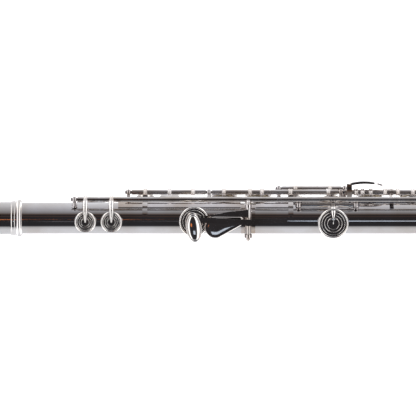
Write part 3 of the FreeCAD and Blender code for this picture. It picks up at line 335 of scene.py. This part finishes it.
def teardrop_path(big, small, count=40):
    """The outline round two circles, each (along, across, radius)."""
    heading = math.atan2(small[1] - big[1], small[0] - big[0])
    swing = math.acos((big[2] - small[2]) / math.hypot(small[0] - big[0], small[1] - big[1]))
    path = []
    for circle, first, last in ((big, heading + swing, heading + 2 * math.pi - swing),
                                (small, heading - swing, heading + swing)):
        for step in range(count):
            way = first + (last - first) * step / (count - 1)
            path.append((circle[0] + circle[2] * math.cos(way), circle[1] + circle[2] * math.sin(way)))
    return path


def add_turning(shape, axes, start, outline, sides=24):
    """A turned piece along +X from its (distance along, radius) outline."""
    rings = []
    for along, radius in outline:
        rings.append([(start[0] + along, start[1] + radius * math.cos(2 * math.pi * side / sides),
                       start[2] + radius * math.sin(2 * math.pi * side / sides)) for side in range(sides)])
    add_rings(shape, axes, rings, False, True)


def arc_points(start, end, bulge, count):
    """Points (across, up) along an arc that rises `bulge` above its chord."""
    points = []
    across = end[0] - start[0]
    up = end[1] - start[1]
    length = math.hypot(across, up)
    normal = (-up / length, across / length)
    if normal[1] < 0:
        normal = (-normal[0], -normal[1])
    for step in range(count):
        share = step / (count - 1)
        rise = bulge * 4 * share * (1 - share)
        points.append((start[0] + across * share + normal[0] * rise,
                       start[1] + up * share + normal[1] * rise))
    return points


def add_arm(shape, axes, station_mm, end, bulge, widths, heights, sides=14, count=22):
    """A forged arm of lens section that leaves the rod, arches on to the cup and ends in a point."""
    points = arc_points((0, 0), end, bulge, count)
    rings = []
    for step, (across, up) in enumerate(points):
        share = step / (count - 1)
        before = points[max(step - 1, 0)]
        after = points[min(step + 1, count - 1)]
        run = math.hypot(after[0] - before[0], after[1] - before[1])
        normal = (-(after[1] - before[1]) / run, (after[0] - before[0]) / run)
        half = sum(w * s for w, s in zip(widths, ((1 - share) ** 2, 2 * share * (1 - share), share ** 2)))
        high = heights[0] + (heights[1] - heights[0]) * share
        ring = []
        for side in range(sides):
            way = 2 * math.pi * side / sides
            out = high * math.sin(way)
            ring.append((station_mm + half * math.cos(way), across + normal[0] * out, up + normal[1] * out))
        rings.append(ring)
    add_rings(shape, axes, rings, False, True)


# Pieces added to the keys

def dress_cup(name, body, axes, middle, radius, material):
    """A rolled bead round a cup's edge and the fine turned rings on its top."""
    shape = bmesh.new()
    add_bead(shape, axes, (middle[0], middle[1], middle[2] - 0.25), radius - 0.2, 0.6)
    for share, height in ((0.79, 0.45), (0.6, 0.42), (0.4, 0.7)):
        add_bead(shape, axes, (middle[0], middle[1], middle[2] + height), radius * share, 0.12, 0.8, 48, 8)
    finish_piece("cup_bead_" + name, shape, body, material)


def dress_key(name, body, rod_name, line, lift, cups, bulge, widths):
    """Beads and a domed, pointed arm for every cup on a rod key."""
    axes = key_frame(rod_name, line, lift)
    across, up = cup_middle(rod_name, line)
    for index, (at, radius) in enumerate(cups):
        tag = "%s_%d" % (name, index + 1)
        dress_cup(tag, body, axes, (at, across, up), radius, BEAD_HIGHLIGHT_SILVER)
        shape = bmesh.new()
        add_arm(shape, axes, at, (across, up + 1.0), bulge, widths, (1.15, 0.62))
        finish_piece("pointed_arm_" + tag, shape, body, ARM_HIGHLIGHT_SILVER)


COLLAR = [(-1.35, 1.6), (-1.3, 2.0), (-1.0, 2.25), (-0.7, 2.3), (-0.4, 2.15), (-0.15, 2.0), (0.15, 2.0),
          (0.4, 2.15), (0.7, 2.3), (1.0, 2.25), (1.3, 2.0), (1.35, 1.6)]


def dress_rods():
    """Turned collars where arms and kickers join the key tubes."""
    for body, rod_name, stations in (
            ("csharp", "main", (231, 246.5, 261.4)), ("bflat", "main", (281, 323.3, 347.3)),
            ("a", "main", (297.6, 305.2)), ("fsharp", "main", (364.9, 369, 374.2, 383.4)),
            ("f", "main", (391.5, 401)), ("e", "main", (428,)), ("d", "main", (457,)),
            ("g", "offset", (326.5, 348.5)), ("dsharp_trill", "trill", (193.4,)),
            ("d_trill", "trill", (209.9,))):
        shape = bmesh.new()
        for at in stations:
            add_turning(shape, key_frame(rod_name, 90), (at, 0, 0), COLLAR)
        finish_piece("collars_" + body, shape, body, KEY_SILVER)


def add_dome(shape, axes, path, middle, up, rise, rows=8):
    """A shallow cushion over a flat outline."""
    rings = []
    for row in range(rows):
        share = 1 - row / rows
        high = up + rise * math.sqrt(1 - share ** 2)
        rings.append([(middle[0] + (along - middle[0]) * share,
                       middle[1] + (across - middle[1]) * share, high) for along, across in path])
    add_rings(shape, axes, rings, False, True)


def dress_touches():
    """Rolled edges and low domes on the thumb touches, the edges in the lighter ring silver as painted
    highlight.
    """
    shape = bmesh.new()
    oval = oval_path((261.6, -3.4), (8.35, 4.35), 97)
    add_wire(shape, thumb_frame(THUMB_LIFT), oval, 20.2, 0.55)
    add_dome(shape, thumb_frame(THUMB_LIFT), oval, (261.6, -3.4), 20.4, 1.3)
    finish_piece("thumb_bflat_edge", shape, "thumb_bflat", RING_HIGHLIGHT_SILVER)
    shape = bmesh.new()
    drop = teardrop_path((275.3, -3.5, 6.35), (290.5, 0.2, 2.35))
    add_wire(shape, thumb_frame(THUMB_LIFT), drop, 16.65, 0.5)
    add_dome(shape, thumb_frame(THUMB_LIFT), drop, (276.5, -5.0), 16.95, 0.5)
    finish_piece("thumb_b_edge", shape, "thumb_b", RING_HIGHLIGHT_SILVER)


def dress_posts():
    """Slotted pivot screws in the end posts and the needle springs that run from them."""
    screws = bmesh.new()
    slots = bmesh.new()
    for rod_name, at, way in (
            ("trill", 186.4, -1), ("trill", 425, 1), ("main", 220.4, -1), ("main", 467.8, 1),
            ("offset", 316, -1), ("offset", 357.8, 1), ("gsharp", 328.2, -1), ("gsharp", 364.4, 1)):
        face = [(1.55 * way, 1.25), (1.95 * way, 1.2), (2.1 * way, 1.0), (2.15 * way, 0.4)]
        add_turning(screws, key_frame(rod_name, 90), (at, 0, 0), face, 20)
        side = 2.2 * way + at
        ring = [(-0.17, -0.95), (0.17, -0.95), (0.17, 0.95), (-0.17, 0.95)]
        add_rings(slots, key_frame(rod_name, 90), [[(side - 0.08, a, b) for a, b in ring],
                                                   [(side + 0.02, a, b) for a, b in ring]], False, True)
    finish_piece("pivot_screws", screws, "body_joint", STEEL)
    finish_piece("screw_slots", slots, "body_joint", DARK_STEEL, False)
    needles = bmesh.new()
    for rod_name, line, at, length, drop in (
            ("trill", 100, 188, 18, 3.1), ("trill", 100, 423, -20, 3.1), ("main", 52, 222, 22, 3.0),
            ("main", 52, 273, 20, 3.0), ("main", 52, 354, -20, 3.0), ("main", 52, 466, -20, 3.0),
            ("gsharp", 108, 330, 17, 1.9), ("offset", 26, 318, 20, 3.2)):
        outline = [(0, 0.2), (length * 0.5, 0.22), (length * 0.95, 0.16), (length, 0.1)]
        add_turning(needles, key_frame(rod_name, line), (at, 0, -drop), outline, 8)
    finish_piece("needle_springs", needles, "body_joint", DARK_STEEL)


BARREL_RINGS = (114.8, 147.5)
CROWN_BEADS = (-61.4, -57.6, -55.2)


def dress_rings():
    """The rolled edges of the barrel's rings and of the crown."""
    axis = Matrix.Scale(MM, 4) @ Matrix.Translation((-FOOT_END, 0, 0)) @ Matrix.Rotation(math.pi / 2, 4, "Y")
    shape = bmesh.new()
    for at in BARREL_RINGS:
        add_bead(shape, axis, (0, 0, at), 10.45, 0.5, 3.2, 96, 14)
        add_bead(shape, axis, (0, 0, at + 5.2), 10.3, 0.32, 1.0, 96, 8)
    finish_piece("barrel_rolls", shape, "body_joint", RING_HIGHLIGHT_SILVER)
    shape = bmesh.new()
    for at in CROWN_BEADS:
        add_bead(shape, axis, (0, 0, at), 10.15, 0.3, 1.0, 96, 10)
    finish_piece("crown_rolls", shape, "crown", CROWN_SILVER)


def dress_keys():
    """Dress every key: its lift is the angle that it stands open at rest."""
    main = (1.75, 2.0, 0.42)
    dress_key("d_trill", "d_trill", "trill", 142.5, 0, [(209.9, 6.35)], 2.6, (1.5, 2.2, 0.5))
    dress_key("dsharp_trill", "dsharp_trill", "trill", 142.5, 0, [(193.4, 6.35)], 2.6, (1.5, 2.2, 0.5))
    dress_key("gsharp", "gsharp", "gsharp", 146, 0, [(350, 9.2)], 3.6, (1.3, 2.3, 0.3))
    dress_key("csharp", "csharp", "main", 0, 10, [(231, 5.6)], 1.2, main)
    dress_key("bflat", "bflat", "main", 0, 11, [(281, 8.7)], 1.2, main)
    dress_key("a", "a", "main", 0, 11, [(303, 8.7)], 1.2, main)
    dress_key("g", "g", "offset", -24, 11, [(326.5, 8.7), (349.5, 8.7)], 1.2, main)
    for key, at in (("fsharp", 374), ("f", 401), ("e", 428), ("d", 457)):
        dress_key(key, key, "main", 0, 11, [(at, 8.7)], 1.2, main)
    dress_key("foot_dsharp", "foot_dsharp", "footnear", 0, 0, [(490, 8.9)], 1.4, main)
    dress_key("foot_csharp", "foot_csharp", "footfar", 0, -11, [(521, 8.9)], 1.3, main)
    dress_key("foot_c", "foot_c", "footfar", 0, -11, [(556, 8.9)], 1.3, main)
    thumb_middle = (262, 0, RIM_DISTANCE + CUP_TOP)
    dress_cup("thumb", "thumb_b", thumb_frame(THUMB_LIFT), thumb_middle, 9.05, BEAD_HIGHLIGHT_SILVER)


# The studio

SHEET_START = -1.9
SHEET_LENGTH = 3.2


def stage_plane(name, corners, material):
    """A flat or folded sheet of the studio, from a strip of YZ points swept along X."""
    shape = bmesh.new()
    line = [shape.verts.new((SHEET_START, y, z)) for y, z in corners]
    edges = [shape.edges.new(pair) for pair in zip(line, line[1:])]
    swept = bmesh.ops.extrude_edge_only(shape, edges=edges)
    moved = [part for part in swept["geom"] if isinstance(part, bmesh.types.BMVert)]
    bmesh.ops.translate(shape, verts=moved, vec=(SHEET_LENGTH, 0, 0))
    mesh = bpy.data.meshes.new(name)
    shape.to_mesh(mesh)
    shape.free()
    sheet = bpy.data.objects.new(name, mesh)
    sheet.data.materials.append(material)
    bpy.context.collection.objects.link(sheet)
    return sheet


def glowing(name, colour, strength):
    """A matt material that gives off a little light of its own."""
    material, nodes, links = new_material(name)
    shader = nodes["Principled BSDF"]
    shader.inputs["Base Color"].default_value = colour + (1,)
    shader.inputs["Roughness"].default_value = 0.9
    shader.inputs["Emission Color"].default_value = colour + (1,)
    shader.inputs["Emission Strength"].default_value = strength
    return material


def node(nodes, kind, operation, *inputs):
    """A Math node with its numbers set; each input is (place, value)."""
    made = nodes.new(kind)
    made.operation = operation
    for place, value in inputs:
        made.inputs[place].default_value = value
    return made


# Thin bright things in the room: turn share and half width, then the span of directions along the tube
STREAKS = [
    (0.4295, 0.009, 0.0225, 0.2, (0.62, 0.7, 0.82, 1)),
    (0.3990, 0.007, -0.2, -0.0555, (0.8, 0.25, 0.08, 1)),
    (0.3990, 0.006, -0.0262, -0.0222, (0.75, 0.25, 0.09, 1)),
    (0.4330, 0.004, -0.012, -0.006, (0.22, 0.22, 0.24, 1)),
    (0.4420, 0.005, -0.046, -0.031, (0.2, 0.2, 0.22, 1)),
    (0.3350, 0.004, -0.1, 0.1, (0.1, 0.06, 0.045, 1)),
]


def sky_colour(nodes, links):
    """Sky colour from the direction looked in: a ramp round the tube, and white off both ends."""
    place = nodes.new("ShaderNodeTexCoord")
    parts = nodes.new("ShaderNodeSeparateXYZ")
    links.new(place.outputs["Generated"], parts.inputs["Vector"])
    angle = node(nodes, "ShaderNodeMath", "ARCTAN2")
    links.new(parts.outputs["Z"], angle.inputs[0])
    links.new(parts.outputs["Y"], angle.inputs[1])
    turns = node(nodes, "ShaderNodeMath", "MULTIPLY", (1, 0.5 / math.pi))
    links.new(angle.outputs["Value"], turns.inputs[0])
    share = node(nodes, "ShaderNodeMath", "WRAP", (1, 1), (2, 0))
    links.new(turns.outputs["Value"], share.inputs[0])
    round_tube = ramp(nodes, links, share.outputs["Value"], [
        (0.0, (0.86, 0.86, 0.88, 1)), (0.10, (0.72, 0.715, 0.74, 1)), (0.17, (0.52, 0.515, 0.54, 1)),
        (0.22, (0.4, 0.395, 0.41, 1)), (0.265, (0.24, 0.23, 0.235, 1)), (0.29, (0.11, 0.075, 0.06, 1)),
        (0.305, (0.03, 0.026, 0.027, 1)), (0.535, (0.03, 0.03, 0.034, 1)), (0.565, (0.55, 0.55, 0.56, 1)),
        (0.62, (0.82, 0.82, 0.84, 1)), (1.0, (0.9, 0.9, 0.92, 1))])
    for middle, half, low, high, colour in STREAKS:
        band = node(nodes, "ShaderNodeMath", "COMPARE", (1, middle), (2, half))
        links.new(share.outputs["Value"], band.inputs[0])
        span = node(nodes, "ShaderNodeMath", "COMPARE", (1, (low + high) / 2), (2, (high - low) / 2))
        links.new(parts.outputs["X"], span.inputs[0])
        both = node(nodes, "ShaderNodeMath", "MULTIPLY")
        links.new(band.outputs["Value"], both.inputs[0])
        links.new(span.outputs["Value"], both.inputs[1])
        lit = nodes.new("ShaderNodeMix")
        lit.data_type = "RGBA"
        links.new(both.outputs["Value"], lit.inputs["Factor"])
        links.new(round_tube, lit.inputs[6])
        lit.inputs[7].default_value = colour
        round_tube = lit.outputs[2]
    sideways = node(nodes, "ShaderNodeMath", "ABSOLUTE")
    links.new(parts.outputs["X"], sideways.inputs[0])
    ends = nodes.new("ShaderNodeMapRange")
    ends.interpolation_type = "SMOOTHSTEP"
    ends.inputs["From Min"].default_value = 0.3
    ends.inputs["From Max"].default_value = 0.5
    links.new(sideways.outputs["Value"], ends.inputs["Value"])
    along = ramp(nodes, links, sideways.outputs["Value"], [
        (0.3, (1.0, 0.99, 0.98, 1)), (0.66, (0.98, 0.97, 0.96, 1)), (0.8, (0.35, 0.34, 0.35, 1)),
        (0.95, (0.16, 0.15, 0.16, 1))])
    blend = nodes.new("ShaderNodeMix")
    blend.data_type = "RGBA"
    links.new(ends.outputs["Result"], blend.inputs["Factor"])
    links.new(round_tube, blend.inputs[6])
    boxes = nodes.new("ShaderNodeVectorMath")
    boxes.operation = "SCALE"
    boxes.inputs["Scale"].default_value = 1.9
    links.new(along, boxes.inputs[0])
    links.new(boxes.outputs["Vector"], blend.inputs[7])
    return blend.outputs[2]


def studio():
    """A white floor, and a sky that goes dark behind the camera for the reflections."""
    floor = stage_plane("floor", [(-3, FLOOR), (3, FLOOR)], glowing("floor_white", (0.93, 0.93, 0.935), 0.75))
    floor.visible_glossy = False
    world = bpy.data.worlds.new("studio_sky")
    bpy.context.scene.world = world
    world.use_nodes = True
    nodes = world.node_tree.nodes
    links = world.node_tree.links
    mirrored = nodes["Background"]
    links.new(sky_colour(nodes, links), mirrored.inputs["Color"])
    backdrop = nodes.new("ShaderNodeBackground")
    backdrop.inputs["Color"].default_value = (1, 1, 1, 1)
    backdrop.inputs["Strength"].default_value = 1.1
    seen = nodes.new("ShaderNodeLightPath")
    choose = nodes.new("ShaderNodeMixShader")
    links.new(seen.outputs["Is Camera Ray"], choose.inputs["Fac"])
    links.new(mirrored.outputs["Background"], choose.inputs[1])
    links.new(backdrop.outputs["Background"], choose.inputs[2])
    links.new(choose.outputs["Shader"], nodes["World Output"].inputs["Surface"])


def soft_light(name, place, aim, size, power):
    """A rectangular lamp that lights the matt parts and isn't seen in the metal."""
    data = bpy.data.lights.new(name, "AREA")
    data.shape = "RECTANGLE"
    data.size = size[0]
    data.size_y = size[1]
    data.energy = power
    lamp = bpy.data.objects.new(name, data)
    lamp.location = place
    lamp.rotation_euler = (Vector(aim) - Vector(place)).to_track_quat("-Z", "Y").to_euler()
    lamp.visible_glossy = False
    bpy.context.collection.objects.link(lamp)


def camera():
    """The view over the trill and thumb keys: square on to the tube, 47.5 degrees up."""
    lens = 300
    width_seen = 0.2642
    elevation = math.radians(47.5)
    target = Vector((-0.3211, 0.0047, 0.0043))
    data = bpy.data.cameras.new("camera")
    data.lens = lens
    distance = width_seen * lens / data.sensor_width
    seat = bpy.data.objects.new("camera", data)
    seat.location = target + Vector((0, -math.cos(elevation), math.sin(elevation))) * distance
    seat.rotation_euler = (math.pi / 2 - elevation, 0, 0)
    data.clip_start = 0.01
    bpy.context.collection.objects.link(seat)
    bpy.context.scene.camera = seat


finish_nodes()
dress_keys()
dress_rods()
dress_touches()
dress_posts()
dress_rings()
studio()
camera()
soft_light("overhead", (-0.5, 0.5, 0.9), (-0.32, 0, 0), (1.2, 0.35), 9)
bpy.context.scene.view_settings.view_transform = "Standard"
